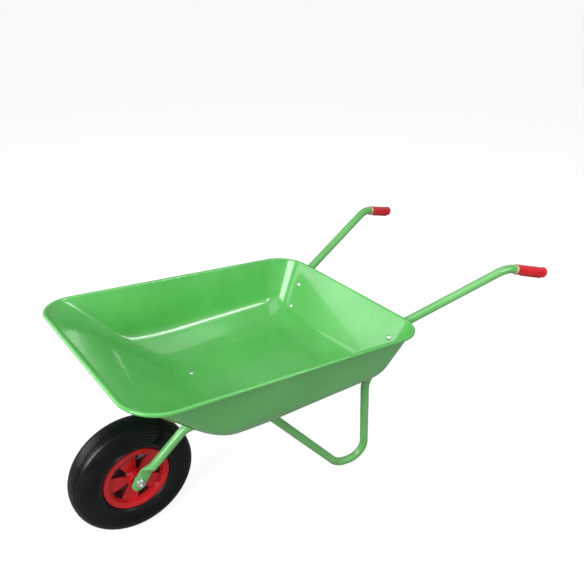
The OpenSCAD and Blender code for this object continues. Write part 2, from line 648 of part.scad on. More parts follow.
// ---- fasteners, drawn with local Z pointing outwards ---------------------
module hex_nut(af, h, thread_d, turn = 0) difference() {
    rotate([0, 0, turn]) cylinder(d = af / cos(30), h = h, $fn = 6);
    translate([0, 0, -1]) cylinder(r = thread_d / 2 + thread_gap, h = h + 2);
}
module flat_washer(d, t, thread_d) difference() {
    cylinder(d = d, h = t);
    translate([0, 0, -1]) cylinder(r = thread_d / 2 + slide_gap, h = t + 2);
}
tray_washer_z = tube_r + 2 * face_gap;
tray_nut_z = tray_washer_z + washer_t + 2 * face_gap;
module bolt() translate([0, 0, -$seat]) {
    cylinder(d = bolt_d, h = $seat + tray_nut_z + nut_h + thread_end);
    rotate([180, 0, 0]) rotate_extrude() polygon([
        [0, 0], [head_d / 2, 0], [head_d / 2, head_h * 0.25], [head_d * 0.43, head_h * 0.6],
        [head_d * 0.27, head_h * 0.9], [0, head_h]]);
}
module wall_bolts() color(steel) place() at_wall_bolts() bolt();
module wall_washers() color(steel) place() at_wall_bolts() translate([0, 0, tray_washer_z])
    flat_washer(washer_d, washer_t, bolt_d);
module wall_nuts() color(steel) place() at_wall_bolts() translate([0, 0, tray_nut_z])
    hex_nut(nut_af, nut_h, bolt_d);
module floor_bolts() color(steel) place() at_floor_bolts() bolt();
module floor_washers() color(steel) place() at_floor_bolts() translate([0, 0, tray_washer_z])
    flat_washer(washer_d, washer_t, bolt_d);
module floor_nuts() color(steel) place() at_floor_bolts() translate([0, 0, tray_nut_z])
    hex_nut(nut_af, nut_h, bolt_d);

tray();
frame_tube_left();
frame_tube_right();
grip_ring_left();
grip_ring_right();
grip_left();
grip_right();
axle();
axle_nuts();
axle_washers();
axle_spacer_left();
axle_spacer_right();
hub_sleeve();
bearing_inner_left();
bearing_inner_right();
bearing_outer_left();
bearing_outer_right();
bearing_balls_left();
bearing_balls_right();
wheel_rim();
inner_tube();
tyre();
valve_stem();
valve_cap();
wall_bolts();
wall_washers();
wall_nuts();
floor_bolts();
floor_washers();
floor_nuts();
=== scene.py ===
import json
import math

import bpy
import numpy as np
from mathutils import Matrix, Vector


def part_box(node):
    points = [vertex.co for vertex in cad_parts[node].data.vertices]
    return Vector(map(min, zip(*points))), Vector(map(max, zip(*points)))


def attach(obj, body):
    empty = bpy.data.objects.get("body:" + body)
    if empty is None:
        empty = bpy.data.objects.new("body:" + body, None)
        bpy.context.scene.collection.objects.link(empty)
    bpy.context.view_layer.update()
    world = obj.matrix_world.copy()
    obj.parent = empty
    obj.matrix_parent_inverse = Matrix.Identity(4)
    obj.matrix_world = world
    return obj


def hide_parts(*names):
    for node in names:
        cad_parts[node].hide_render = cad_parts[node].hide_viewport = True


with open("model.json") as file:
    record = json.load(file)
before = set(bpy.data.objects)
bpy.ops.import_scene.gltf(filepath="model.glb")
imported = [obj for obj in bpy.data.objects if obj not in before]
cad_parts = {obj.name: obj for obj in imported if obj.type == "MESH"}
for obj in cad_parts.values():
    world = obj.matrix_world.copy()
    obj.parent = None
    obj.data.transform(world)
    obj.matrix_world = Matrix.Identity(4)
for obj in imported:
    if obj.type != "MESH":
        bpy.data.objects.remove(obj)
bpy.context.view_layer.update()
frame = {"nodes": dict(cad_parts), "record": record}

# Lengths are metres. Stations along the object are measured from the axle, as on the solids.
MM = 0.001
AXLE = sum(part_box("axle"), Vector()) / 2
SIDEWAYS, UP = Vector((0, 1, 0)), Vector((0, 0, 1))
LEFT, RIGHT = -1, 1
SIDES = {LEFT: "left", RIGHT: "right"}

# ---- tray sizes
RIM_FRONT, RIM_REAR = 600 * MM, 521 * MM
FLOOR_Z = 345 * MM
SHEET = 1.2 * MM
BEAD_R = 5.5 * MM
TRAY_X0, TRAY_X1 = -91 * MM, 780 * MM
TRAY_HALF = 320 * MM
CORNER_FRONT, CORNER_REAR = 100 * MM, 95 * MM
FLOOR_CORNER_FRONT, FLOOR_CORNER_REAR = 40 * MM, 45 * MM
FRONT_INSET, REAR_INSET, SIDE_INSET = 318 * MM, 142 * MM, 147 * MM
FRONT_STRAIGHT, REAR_STRAIGHT, SIDE_STRAIGHT = 0.80, 0.675, 0.37
FLOOR_LIFT, LIFT_FROM, LIFT_RUN = 18 * MM, 330 * MM, 200 * MM

# ---- frame sizes
TUBE_R = 12.7 * MM
TUBE_WALL = 1.5 * MM
SEAT_GAP = 0.3 * MM
TAB_Y, TAB_LENGTH, TAB_HALF, TAB_OVERHANG = 49 * MM, 36 * MM, 20 * MM, 6 * MM
TAB_RISE, FORK_RISE = math.radians(54.5), math.radians(46.4)
KNEE_REACH = 62 * MM
SPLAY_START, SPLAY_REAR = 57 * MM, 215.5 * MM

# ---- grip and wheel sizes
GRIP_R, GRIP_END_R, GRIP_LENGTH, GRIP_CAP = 15 * MM, 16 * MM, 122 * MM, 6 * MM
RIDGE_FROM, RIDGE_PITCH, RIDGE_H, RIDGES = 8 * MM, 15 * MM, 3 * MM, 6
RING_WIDTH = 4.5 * MM
WHEEL_R = AXLE.z
TYRE_HALF, TYRE_WALL = 44.5 * MM, 7 * MM
FLANGE_R, SEAT_R, WEB_R, HUB_R = 98 * MM, 88.5 * MM, 79 * MM, 23 * MM
RIM_HALF, WEB_HALF, HUB_HALF = 33 * MM, 21 * MM, 38 * MM
SPOKES = 5
WINDOW_START = math.radians(70)
GAP = 0.1 * MM    # clearance where one piece is pushed over or against another

# ---- camera: sensor and lens in millimetres, tilt and turn in degrees
SENSOR_WIDTH, LENS = 36.0, 38.32
SHIFT_X, SHIFT_Y = 0.041, 0.101
CAMERA_FROM_AXLE, CAMERA_SIDE, CAMERA_HEIGHT = -0.4336, -1.2613, 1.3856
CAMERA_DOWN, CAMERA_TURN = 32.3, -35.4


# =========================== camera ===========================
def make_camera():
    data = bpy.data.cameras.new("camera")
    data.sensor_width = SENSOR_WIDTH
    data.lens = LENS
    data.shift_x = SHIFT_X
    data.shift_y = SHIFT_Y
    data.clip_start = 0.05
    cam = bpy.data.objects.new("camera", data)
    cam.location = (AXLE.x + CAMERA_FROM_AXLE, CAMERA_SIDE, CAMERA_HEIGHT)
    cam.rotation_euler = (math.radians(90 - CAMERA_DOWN), 0, math.radians(CAMERA_TURN))
    bpy.context.scene.collection.objects.link(cam)
    bpy.context.scene.camera = cam


# =========================== materials ===========================
class Material:
    """A Principled material with short names for the nodes that its detail needs."""

    def __init__(self, name, roughness, metallic=0.0, coat=0.0, coat_roughness=0.1, specular=0.5):
        self.material = bpy.data.materials.new(name)
        self.material.use_nodes = True
        self.tree = self.material.node_tree
        self.shader = self.tree.nodes["Principled BSDF"]
        self.set(self.shader, "Roughness", roughness)
        self.set(self.shader, "Metallic", metallic)
        self.set(self.shader, "Coat Weight", coat)
        self.set(self.shader, "Coat Roughness", coat_roughness)
        self.set(self.shader, "Specular IOR Level", specular)
        coordinates = self.tree.nodes.new("ShaderNodeTexCoord")
        self.place = coordinates.outputs["Object"]

    def set(self, node, socket, value):
        node.inputs[socket].default_value = value

    def link(self, output, node, socket):
        self.tree.links.new(output, node.inputs[socket])

    def stretched(self, scale, turn=(0, 0, 0)):
        node = self.tree.nodes.new("ShaderNodeMapping")
        self.link(self.place, node, "Vector")
        self.set(node, "Rotation", turn)
        self.set(node, "Scale", scale)
        return node.outputs["Vector"]

    def noise(self, scale, detail=4.0, rough=0.55, at=None):
        node = self.tree.nodes.new("ShaderNodeTexNoise")
        self.link(at or self.place, node, "Vector")
        self.set(node, "Scale", scale)
        self.set(node, "Detail", detail)
        self.set(node, "Roughness", rough)
        return node.outputs["Fac"]

    def cells(self, scale):
        node = self.tree.nodes.new("ShaderNodeTexVoronoi")
        self.link(self.place, node, "Vector")
        self.set(node, "Scale", scale)
        return node.outputs["Distance"]

    def ramp(self, value, low, high, out_low=0.0, out_high=1.0):
        node = self.tree.nodes.new("ShaderNodeMapRange")
        node.interpolation_type = "SMOOTHSTEP"
        self.link(value, node, "Value")
        self.set(node, "From Min", low)
        self.set(node, "From Max", high)
        self.set(node, "To Min", out_low)
        self.set(node, "To Max", out_high)
        return node.outputs["Result"]

    def math(self, operation, a, b):
        node = self.tree.nodes.new("ShaderNodeMath")
        node.operation = operation
        for i, value in enumerate((a, b)):
            if isinstance(value, (int, float)):
                node.inputs[i].default_value = value
            else:
                self.tree.links.new(value, node.inputs[i])
        return node.outputs[0]

    def mix(self, factor, a, b):
        node = self.tree.nodes.new("ShaderNodeMix")
        node.data_type = "RGBA"
        self.tree.links.new(factor, node.inputs[0])
        for i, value in ((6, a), (7, b)):
            if isinstance(value, tuple):
                node.inputs[i].default_value = (*value, 1)
            else:
                self.tree.links.new(value, node.inputs[i])
        return node.outputs[2]

    def coordinate(self, split_axis):
        node = self.tree.nodes.new("ShaderNodeSeparateXYZ")
        self.link(self.place, node, "Vector")
        return node.outputs[split_axis]

    def bump(self, height, distance, strength=1.0, after=None):
        node = self.tree.nodes.new("ShaderNodeBump")
        self.link(height, node, "Height")
        self.set(node, "Distance", distance)
        self.set(node, "Strength", strength)
        if after is not None:
            self.link(after, node, "Normal")
        return node.outputs["Normal"]

    def finish(self, colour, roughness=None, normal=None):
        self.link(colour, self.shader, "Base Color")
        if roughness is not None:
            self.link(roughness, self.shader, "Roughness")
        if normal is not None:
            self.link(normal, self.shader, "Normal")
        return self.material


def green_paint(name="green_paint", shade=(0.082, 0.425, 0.080), tint=(0.110, 0.500, 0.108)):
    """Gloss stove enamel on pressed steel: orange peel, faint handling haze, a few fine scuffs."""
    m = Material(name, 0.24, coat=0.5, coat_roughness=0.06)
    cloud = m.ramp(m.noise(5.0, 5.0), 0.35, 0.7)
    colour = m.mix(cloud, shade, tint)
    near_ground = m.ramp(m.coordinate("Z"), 0.16, 0.0)
    grime = m.math("MULTIPLY", near_ground, m.ramp(m.noise(38.0, 6.0), 0.45, 0.75))
    colour = m.mix(m.math("MULTIPLY", grime, 0.55), colour, (0.16, 0.17, 0.09))
    streaks = m.stretched((1.0, 9.0, 9.0), turn=(0.2, 0.5, 0.7))
    scratches = m.ramp(m.noise(60.0, 2.0, at=streaks), 0.74, 0.79)
    colour = m.mix(m.math("MULTIPLY", scratches, 0.12), colour, (0.30, 0.62, 0.28))
    roughness = m.ramp(m.noise(8.0, 3.0), 0.3, 0.75, 0.20, 0.29)
    peel = m.bump(m.noise(520.0, 2.0), 0.00006, 0.35)
    dents = m.bump(m.noise(7.0, 1.0), 0.0008, 0.2, after=peel)
    return m.finish(colour, roughness, dents)


def tube_paint_painted_sheen():
    """The same enamel on the tubes, painted paler than on the tray: a painted sheen in place of the soft
    light's broad highlight along the tubes.
    """
    return green_paint("tube_paint_painted_sheen", shade=(0.122, 0.430, 0.108), tint=(0.163, 0.506, 0.146))


def red_plastic():
    """Injection-moulded red plastic with a fine spark texture, and painted shade inside the wheel's windows.
    """
    m = Material("red_plastic", 0.3, coat=0.35, coat_roughness=0.12, specular=0.22)
    colour = m.mix(m.ramp(m.noise(26.0, 4.0), 0.35, 0.7), (0.56, 0.007, 0.012), (0.67, 0.014, 0.020))
    dust = m.math("MULTIPLY", m.ramp(m.noise(70.0, 7.0, 0.65), 0.52, 0.8), 0.12)
    colour = m.mix(dust, colour, (0.48, 0.12, 0.10))
    # Painted shade: darker and rougher deeper inside the wheel's windows, where the recesses lie in shadow.
    depth = m.math("ABSOLUTE", m.coordinate("Y"), 0)
    painted_window_shade = m.math("MULTIPLY", m.ramp(depth, WEB_HALF - 0.5 * MM, WEB_HALF - 6 * MM), 0.86)
    colour = m.mix(painted_window_shade, colour, (0.022, 0.004, 0.004))
    roughness = m.ramp(m.noise(45.0, 5.0), 0.3, 0.75, 0.24, 0.38)
    roughness = m.math("MAXIMUM", roughness, painted_window_shade)
    grain = m.bump(m.noise(900.0, 2.0), 0.00005, 0.4)
    return m.finish(colour, roughness, grain)


def pale_plastic():
    m = Material("pale_plastic", 0.5)
    colour = m.mix(m.ramp(m.noise(60.0, 5.0), 0.35, 0.7), (0.55, 0.42, 0.26), (0.64, 0.52, 0.36))
    grain = m.bump(m.noise(800.0, 2.0), 0.00005, 0.4)
    return m.finish(colour, m.ramp(m.noise(50.0), 0.3, 0.7, 0.42, 0.6), grain)


def tyre_rubber():
    """Black tyre rubber: faint grey bloom, dusty tread, matte grain."""
    m = Material("tyre_rubber", 0.4, specular=0.24)
    cloud = m.ramp(m.noise(22.0, 6.0, 0.6), 0.35, 0.75)
    colour = m.mix(cloud, (0.0030, 0.0036, 0.0042), (0.0070, 0.0078, 0.0086))
    dust = m.math("MULTIPLY", m.ramp(m.noise(95.0, 8.0, 0.7), 0.60, 0.86), 0.10)
    colour = m.mix(dust, colour, (0.085, 0.080, 0.072))
    roughness = m.ramp(m.noise(34.0, 6.0), 0.3, 0.75, 0.24, 0.40)
    grain = m.bump(m.noise(1100.0, 3.0), 0.00008, 0.6)
    return m.finish(colour, roughness, grain)


def soft_rubber():
    m = Material("soft_rubber", 0.62)
    colour = m.mix(m.ramp(m.noise(60.0, 5.0), 0.35, 0.75), (0.012, 0.012, 0.012), (0.030, 0.029, 0.028))
    return m.finish(colour, m.ramp(m.noise(40.0), 0.3, 0.7, 0.52, 0.72), m.bump(m.noise(900.0), 0.00006, 0.5))


def black_plastic():
    m = Material("black_plastic", 0.45)
    colour = m.mix(m.ramp(m.noise(80.0, 5.0), 0.35, 0.75), (0.010, 0.010, 0.010), (0.022, 0.022, 0.022))
    roughness = m.ramp(m.noise(60.0), 0.3, 0.7, 0.38, 0.55)
    return m.finish(colour, roughness, m.bump(m.noise(1200.0), 0.00004, 0.5))


def zinc_steel():
    """Bright zinc plate: cool grey crystals, slightly milky, a touch of brown in the dips."""
    m = Material("zinc_steel", 0.3, metallic=1.0)
    crystals = m.ramp(m.cells(420.0), 0.1, 0.7)
    colour = m.mix(crystals, (0.62, 0.64, 0.66), (0.78, 0.79, 0.80))
    stain = m.math("MULTIPLY", m.ramp(m.noise(190.0, 6.0), 0.58, 0.8), 0.4)
    colour = m.mix(stain, colour, (0.38, 0.34, 0.29))
    roughness = m.ramp(m.noise(240.0, 4.0), 0.3, 0.75, 0.20, 0.42)
    return m.finish(colour, roughness, m.bump(m.noise(1400.0, 3.0), 0.00004, 0.5))


def bearing_steel():
    m = Material("bearing_steel", 0.16, metallic=1.0)
    rings = m.noise(500.0, 3.0, at=m.stretched((6.0, 0.4, 6.0)))
    colour = m.mix(m.ramp(rings, 0.3, 0.7), (0.66, 0.67, 0.69), (0.80, 0.80, 0.81))
    return m.finish(colour, m.ramp(rings, 0.3, 0.7, 0.10, 0.24), m.bump(rings, 0.00002, 0.4))


MAKERS = {"green_paint": green_paint, "tube_paint_painted_sheen": tube_paint_painted_sheen, "red_plastic": red_plastic,
          "pale_plastic": pale_plastic, "tyre_rubber": tyre_rubber, "valve_rubber": soft_rubber,
          "black_plastic": black_plastic, "zinc_steel": zinc_steel, "bearing_steel": bearing_steel}
MATERIALS = {look: make() for look, make in MAKERS.items()}
SLOT_OF = {s["node"]: s["material_slot"] for s in frame["record"]["subparts"]}


def dress_cad_nodes():
    for name, node in frame["nodes"].items():
        node.data.materials.clear()
        node.data.materials.append(MATERIALS[SLOT_OF[name]])


# =========================== mesh helpers ===========================
def add_piece(name, mesh, body, slot, replaces=(), sharp=35, bevel=0.0, bevel_segments=2, look=None):
    """Links a mesh built in axle coordinates as a piece that rides on a body.

    The material is the slot's own, unless a look is named."""
    mesh.transform(Matrix.Translation((AXLE.x, 0, 0)))
    mesh.validate()
    mesh.polygons.foreach_set("use_smooth", [True] * len(mesh.polygons))
    mesh.set_sharp_from_angle(angle=math.radians(sharp))
    mesh.materials.append(MATERIALS[look or slot])
    piece = bpy.data.objects.new(name, mesh)
    bpy.context.scene.collection.objects.link(piece)
    if bevel:
        modifier = piece.modifiers.new("edges", "BEVEL")
        modifier.width = bevel
        modifier.segments = bevel_segments
        modifier.limit_method = "ANGLE"
        modifier.angle_limit = math.radians(sharp)
        modifier.harden_normals = True
    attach(piece, body)
    if replaces:
        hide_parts(*replaces)
    return piece


def mesh_from(name, points, faces):
    mesh = bpy.data.meshes.new(name)
    mesh.from_pydata([tuple(p) for p in points], [], faces)
    mesh.update()
    return mesh


def loft(rings, cap_start=False, cap_end=False, closed=False):
    """Points and faces of a skin over closed rings of equal length."""
    n = len(rings[0])
    points = [p for ring in rings for p in ring]
    faces = []
    count = len(rings)
    for k in range(count if closed else count - 1):
        a, b = k * n, (k + 1) % count * n
        faces += [(a + j, a + (j + 1) % n, b + (j + 1) % n, b + j) for j in range(n)]
    if cap_start:
        faces.append(tuple(reversed(range(n))))
    if cap_end:
        faces.append(tuple((count - 1) * n + j for j in range(n)))
    return points, faces


def join(parts):
    """Joins (points, faces) pairs into one."""
    points, faces = [], []
    for p, f in parts:
        base = len(points)
        points += list(p)
        faces += [tuple(i + base for i in face) for face in f]
    return points, faces


def turned(profile, segments, centre=None, radial=None):
    """Turns a profile of (radius, y) about the axle, or about a frame (origin, axis, side)."""
    origin, axis, side = centre or (Vector((0, 0, WHEEL_R)), SIDEWAYS, UP)
    side = (side - axis * side.dot(axis)).normalized()
    other = axis.cross(side)
    rings = []
    for r, along in profile:
        ring = []
        for j in range(segments):
            a = 2 * math.pi * j / segments
            rr = r if radial is None else r + radial(r, along, a)
            ring.append(origin + axis * along + side * (rr * math.cos(a)) + other * (rr * math.sin(a)))
        rings.append(ring)
    return rings


# =========================== tray ===========================
WALL_X0, WALL_X1 = TRAY_X0 + 2 * BEAD_R, TRAY_X1 - 2 * BEAD_R
WALL_Y = TRAY_HALF - 2 * BEAD_R
CORNER_STEPS, LONG_STEPS, SHORT_STEPS, LEVELS, BEAD_STEPS = 18, 22, 14, 34, 16
FRONT_CURVE_TOP, REAR_CURVE_TOP, SIDE_CURVE_TOP = 0.5, 0.25, 0.42
LEVEL_CROWDING = 1.6     # levels crowd towards the floor, where the walls curve


def rim_z(x):
    return RIM_FRONT + (RIM_REAR - RIM_FRONT) * (x - TRAY_X0) / (TRAY_X1 - TRAY_X0)


def base_z(x):
    return FLOOR_Z + FLOOR_LIFT * np.maximum(0, (LIFT_FROM - x) / LIFT_RUN) ** 2


def inset(h, total, straight, top):
    """How far a wall stands in at share h of its height: a straight slope, and a curve up to top."""
    bend = 1 - math.sqrt(1 - (1 - h / top) ** 2) if h < top else 0
    return total * (straight * (1 - h) + (1 - straight) * bend)


def outline(x0, x1, y, r_front, r_rear):
    """Rounded rectangle as an array of (x, y), anticlockwise from the rear right corner."""
    corners = [(x1 - r_rear, y - r_rear, r_rear, 0), (x0 + r_front, y - r_front, r_front, 90),
               (x0 + r_front, r_front - y, r_front, 180), (x1 - r_rear, r_rear - y, r_rear, 270)]
    arcs = []
    for cx, cy, r, start in corners:
        a = np.radians(start + np.linspace(0, 90, CORNER_STEPS + 1))
        arcs.append(np.stack([cx + r * np.cos(a), cy + r * np.sin(a)], 1))
    out = []
    for i, arc in enumerate(arcs):
        steps = LONG_STEPS if i % 2 == 0 else SHORT_STEPS
        share = np.linspace(0, 1, steps + 1)[1:-1, None]
        out += [arc, arc[-1] + (arcs[(i + 1) % 4][0] - arc[-1]) * share]
    return np.concatenate(out)


def level_outline(h):
    return outline(WALL_X0 + inset(h, FRONT_INSET, FRONT_STRAIGHT, FRONT_CURVE_TOP),
                   WALL_X1 - inset(h, REAR_INSET, REAR_STRAIGHT, REAR_CURVE_TOP),
                   WALL_Y - inset(h, SIDE_INSET, SIDE_STRAIGHT, SIDE_CURVE_TOP),
                   FLOOR_CORNER_FRONT + (CORNER_FRONT - 2 * BEAD_R - FLOOR_CORNER_FRONT) * h * h,
                   FLOOR_CORNER_REAR + (CORNER_REAR - 2 * BEAD_R - FLOOR_CORNER_REAR) * h)


def raised(flat, z):
    return np.column_stack([flat, z])


def tray_rings():
    rim_line = rim_z(level_outline(1)[:, 0]) - BEAD_R
    middle = np.array([(WALL_X0 + FRONT_INSET + WALL_X1 - REAR_INSET) / 2, 0])
    floor = level_outline(0)
    rings = []
    for share in (0.08, 0.2, 0.35, 0.5, 0.65, 0.8, 0.92):
        flat = middle + (floor - middle) * share
        rings.append(raised(flat, base_z(flat[:, 0])))
    for i in range(LEVELS + 1):
        h = (i / LEVELS) ** LEVEL_CROWDING
        flat = level_outline(h)
        base = base_z(flat[:, 0])
        rings.append(raised(flat, base + (rim_line - base) * h))
    inner = np.array(rings)
    along = np.roll(inner, -1, 1) - np.roll(inner, 1, 1)
    up = np.gradient(inner, axis=0)
    normal = np.cross(along, up)
    outer = inner + SHEET * normal / np.linalg.norm(normal, axis=2, keepdims=True)
    bead = []
    for a in np.radians(np.linspace(150, -150, BEAD_STEPS)):
        out = BEAD_R * (1 + math.cos(a))
        flat = outline(WALL_X0 - out, WALL_X1 + out, WALL_Y + out,
                       CORNER_FRONT - 2 * BEAD_R + out, CORNER_REAR - 2 * BEAD_R + out)
        bead.append(raised(flat, rim_z(flat[:, 0]) - BEAD_R + BEAD_R * math.sin(a)))
    return list(inner) + bead + list(outer[-2::-1])


def make_tray():
    points, faces = loft(tray_rings(), cap_start=True, cap_end=True)
    mesh = mesh_from("tray_skin", points, faces)
    mesh.flip_normals()
    add_piece("tray_skin", mesh, "frame", "green_paint", replaces=("tray",), sharp=50)


# =========================== frame ===========================
def unit(v):
    return v.normalized()


WALL_TOP = rim_z(WALL_X1) - BEAD_R
WALL_SLOPE = math.atan((WALL_TOP - FLOOR_Z) / (REAR_INSET * REAR_STRAIGHT))
RUN_Z = FLOOR_Z - SHEET - SEAT_GAP - TUBE_R
FOOT_Z = TUBE_R + 0.2 * MM
FOOT_BACK, FOOT_LEAN, FOOT_LENGTH = 57 * MM, 16 * MM, 97.4 * MM
FOOT_X = WALL_X1 - FOOT_BACK
LEG_REACH, LEG_BEND_DROP, HANDLE_BEND_DROP = 273 * MM, 24 * MM, 23 * MM
LEG_BEND_Z = FLOOR_Z - LEG_BEND_DROP
HANDLE_BEND_Z = WALL_TOP - HANDLE_BEND_DROP
HANDLE_REACH, HANDLE_Z, HANDLE_SPREAD = 338 * MM, 615.4 * MM, 19 * MM
HANDLE_X = WALL_X1 + HANDLE_REACH
HANDLE_RUN, HANDLE_DROP, BARE_TUBE = 140 * MM, 39.6 * MM, 1.8 * MM
FORK_BEND_R, LEG_BEND_R, FOOT_BEND_R, HANDLE_BEND_R = 50 * MM, 76 * MM, 58 * MM, 95 * MM
STRAIGHT_STEP = 0.03


def at(side, x, z, inward=0.0):
    y = SPLAY_START + (SPLAY_REAR - SPLAY_START) * x / WALL_X1 - inward
    return Vector((x, side * y, z))


def behind_wall(z):
    off = (SHEET + SEAT_GAP + TUBE_R) / math.sin(WALL_SLOPE)
    return WALL_X1 + off - (WALL_TOP - z) / math.tan(WALL_SLOPE)


def knee(side):
    return at(side, KNEE_REACH * math.cos(TAB_RISE), WHEEL_R + KNEE_REACH * math.sin(TAB_RISE))


def handle_corner(side):
    return at(side, HANDLE_X, HANDLE_Z, -HANDLE_SPREAD)


def tail_dir(side):
    """Direction of the straight that carries the grip, away from the tray."""
    splay = (SPLAY_REAR - SPLAY_START) / WALL_X1
    return unit(Vector((HANDLE_RUN, side * splay * HANDLE_RUN, -HANDLE_DROP)))


def tube_end(side):
    corner = handle_corner(side)
    turn = tail_dir(side).angle(corner - at(side, behind_wall(HANDLE_BEND_Z), HANDLE_BEND_Z))
    run = HANDLE_BEND_R * math.tan(turn / 2) + BARE_TUBE + RING_WIDTH + GAP + GRIP_LENGTH - GRIP_CAP
    return corner + tail_dir(side) * run


def tube_corners(side):
    """Corner points of one tube with their bend radii."""
    k = knee(side)
    fork_x = k.x + (RUN_Z - k.z) / math.tan(FORK_RISE)
    front_x = FOOT_X - FOOT_LENGTH
    return [(at(side, fork_x, RUN_Z), FORK_BEND_R),
            (at(side, front_x - LEG_REACH, RUN_Z), LEG_BEND_R),
            (at(side, front_x, FOOT_Z, FOOT_LEAN), FOOT_BEND_R),
            (at(side, FOOT_X, FOOT_Z, FOOT_LEAN), FOOT_BEND_R),
            (at(side, behind_wall(LEG_BEND_Z), LEG_BEND_Z), LEG_BEND_R),
            (at(side, behind_wall(HANDLE_BEND_Z), HANDLE_BEND_Z), LEG_BEND_R),
            (handle_corner(side), HANDLE_BEND_R)]


def straight_count(gap):
    """Number of equal steps along a straight of the centre line."""
    return max(1, int(gap / STRAIGHT_STEP))


def rounded_path(start, corners, end, step=math.radians(4)):
    """Centre line with tangent arcs at the corners: a list of (point, direction)."""
    points = [start] + [c[0] for c in corners] + [end]
    out = [(start, unit(points[1] - start))]
    for i, (corner, radius) in enumerate(corners, 1):
        a = unit(points[i] - points[i - 1])
        b = unit(points[i + 1] - points[i])
        angle = a.angle(b)
        inward = unit(b - a * a.dot(b))
        first = corner - a * (radius * math.tan(angle / 2))
        centre = first + inward * radius
        gap = (first - out[-1][0]).length
        for j in range(1, straight_count(gap)):
            out.append((out[-1][0] + a * gap / straight_count(gap), a))
        steps = max(4, math.ceil(angle / step))
        for j in range(steps + 1):
            t = angle * j / steps
            out.append((centre - inward * (radius * math.cos(t)) + a * (radius * math.sin(t)),
                        a * math.cos(t) + inward * math.sin(t)))
    direction = unit(points[-1] - points[-2])
    gap = (end - out[-1][0]).length
    last = out[-1][0]
    count = straight_count(gap)
    out += [(last + direction * (gap * j / count), direction) for j in range(1, count + 1)]
    return out


END_ANGLES = np.radians(np.linspace(-78, 78, 13))


def section(half_width, half_thick):
    """A stadium-shaped outline, round when both halves are equal."""
    flat = half_width - half_thick
    right = [(flat + half_thick * math.cos(a), half_thick * math.sin(a)) for a in END_ANGLES]
    left = [(-x, -y) for x, y in right]
    return right + [(0.0, half_thick)] + left + [(0.0, -half_thick)]


def placed(outline_2d, centre, across, through):
    return [centre + across * x + through * y for x, y in outline_2d]


def make_tube(side):
    k = knee(side)
    path = rounded_path(k, tube_corners(side), tube_end(side))
    tube_dir = path[0][1]
    tab_dir = Vector((math.cos(TAB_RISE), 0, math.sin(TAB_RISE)))
    tab_axle = Vector((0, side * TAB_Y, WHEEL_R))
    tab_start = tab_axle + tab_dir * TAB_LENGTH
    half_tab = TUBE_WALL
    rings = []
    # rounded end and flat length of the pressed tab
    for a in np.radians([-88, -80, -70, -58, -45, -32, -18, -6, 0]):
        across = SIDEWAYS.cross(tab_dir)
        rings.append(placed(section(max(TAB_HALF * math.cos(a), 1.02 * half_tab), half_tab),
                            tab_axle + tab_dir * (TAB_HALF * math.sin(a) - TAB_OVERHANG), across, SIDEWAYS))
    for share in (0.35, 0.7, 1.0):
        rings.append(placed(section(TAB_HALF, half_tab), tab_axle + tab_dir * (TAB_LENGTH * share),
                            SIDEWAYS.cross(tab_dir), SIDEWAYS))
    # the tube swells from flat to round
    for share in (0.12, 0.28, 0.45, 0.62, 0.8):
        smooth = share * share * (3 - 2 * share)
        direction = unit(tab_dir.lerp(tube_dir, smooth))
        through = unit(SIDEWAYS - direction * SIDEWAYS.dot(direction))
        centre = tab_start.lerp(k, share)
        rings.append(placed(section(TAB_HALF + (TUBE_R - TAB_HALF) * smooth ** 1.4,
                                    half_tab + (TUBE_R - half_tab) * smooth ** 0.8),
                            centre, through.cross(direction), through))
    for centre, direction in path:
        through = unit(SIDEWAYS - direction * SIDEWAYS.dot(direction))
        rings.append(placed(section(TUBE_R, TUBE_R), centre, through.cross(direction), through))
    points, faces = loft(rings, cap_start=True, cap_end=True)
    mesh = mesh_from(f"frame_tube_skin_{SIDES[side]}", points, faces)
    # The tubes take the paler enamel, a painted sheen.
    add_piece(f"frame_tube_skin_{SIDES[side]}", mesh, "frame", "green_paint", look="tube_paint_painted_sheen",
              replaces=(f"frame_tube_{SIDES[side]}",), sharp=50)


# =========================== grips ===========================
def grip_frame(side):
    """Origin at the tube's end, local axis back towards the bend, side pointing up."""
    end = tube_end(side)
    return end, -tail_dir(side), UP


def make_grip(side):
    mouth = GRIP_LENGTH - GRIP_CAP

    def finger_ridges(r, along, a):
        """Teeth on the underside, a little deeper towards the grip's end."""
        if r < GRIP_R - 1.5 * MM or not RIDGE_FROM < along < RIDGE_FROM + RIDGES * RIDGE_PITCH:
            return 0.0
        below = max(0.0, -math.cos(a)) ** 0.5
        wave = max(0.0, math.sin(2 * math.pi * (along - RIDGE_FROM) / RIDGE_PITCH))
        return RIDGE_H * below * wave ** 0.5 * (1.3 - 0.5 * along / mouth)

    profile = [(6 * MM, -GRIP_CAP), (GRIP_END_R - 2.6 * MM, -GRIP_CAP + 0.2 * MM),
               (GRIP_END_R - 0.8 * MM, -GRIP_CAP + 1.0 * MM), (GRIP_END_R, -GRIP_CAP + 2.4 * MM),
               (GRIP_END_R, 0.5 * MM), (GRIP_END_R - 0.4 * MM, 2 * MM), (GRIP_R, 4 * MM)]
    profile += [(GRIP_R, z * MM) for z in np.arange(6, mouth / MM - 9, 1.25)]
    profile += [(GRIP_R + 0.1 * MM, mouth - 7.5 * MM), (GRIP_R + 0.8 * MM, mouth - 6 * MM),
                (GRIP_R + 0.8 * MM, mouth - 1.0 * MM), (GRIP_R + 0.3 * MM, mouth - 0.2 * MM),
                (GRIP_R - 0.5 * MM, mouth), (TUBE_R + GAP, mouth), (TUBE_R + GAP, mouth - 4 * MM)]
    rings = turned(profile, 56, grip_frame(side), finger_ridges)
    points, faces = loft(rings, cap_start=True)
    mesh = mesh_from(f"grip_skin_{SIDES[side]}", points, faces)
    add_piece(f"grip_skin_{SIDES[side]}", mesh, "frame", "red_plastic",
              replaces=(f"grip_{SIDES[side]}",), sharp=50)


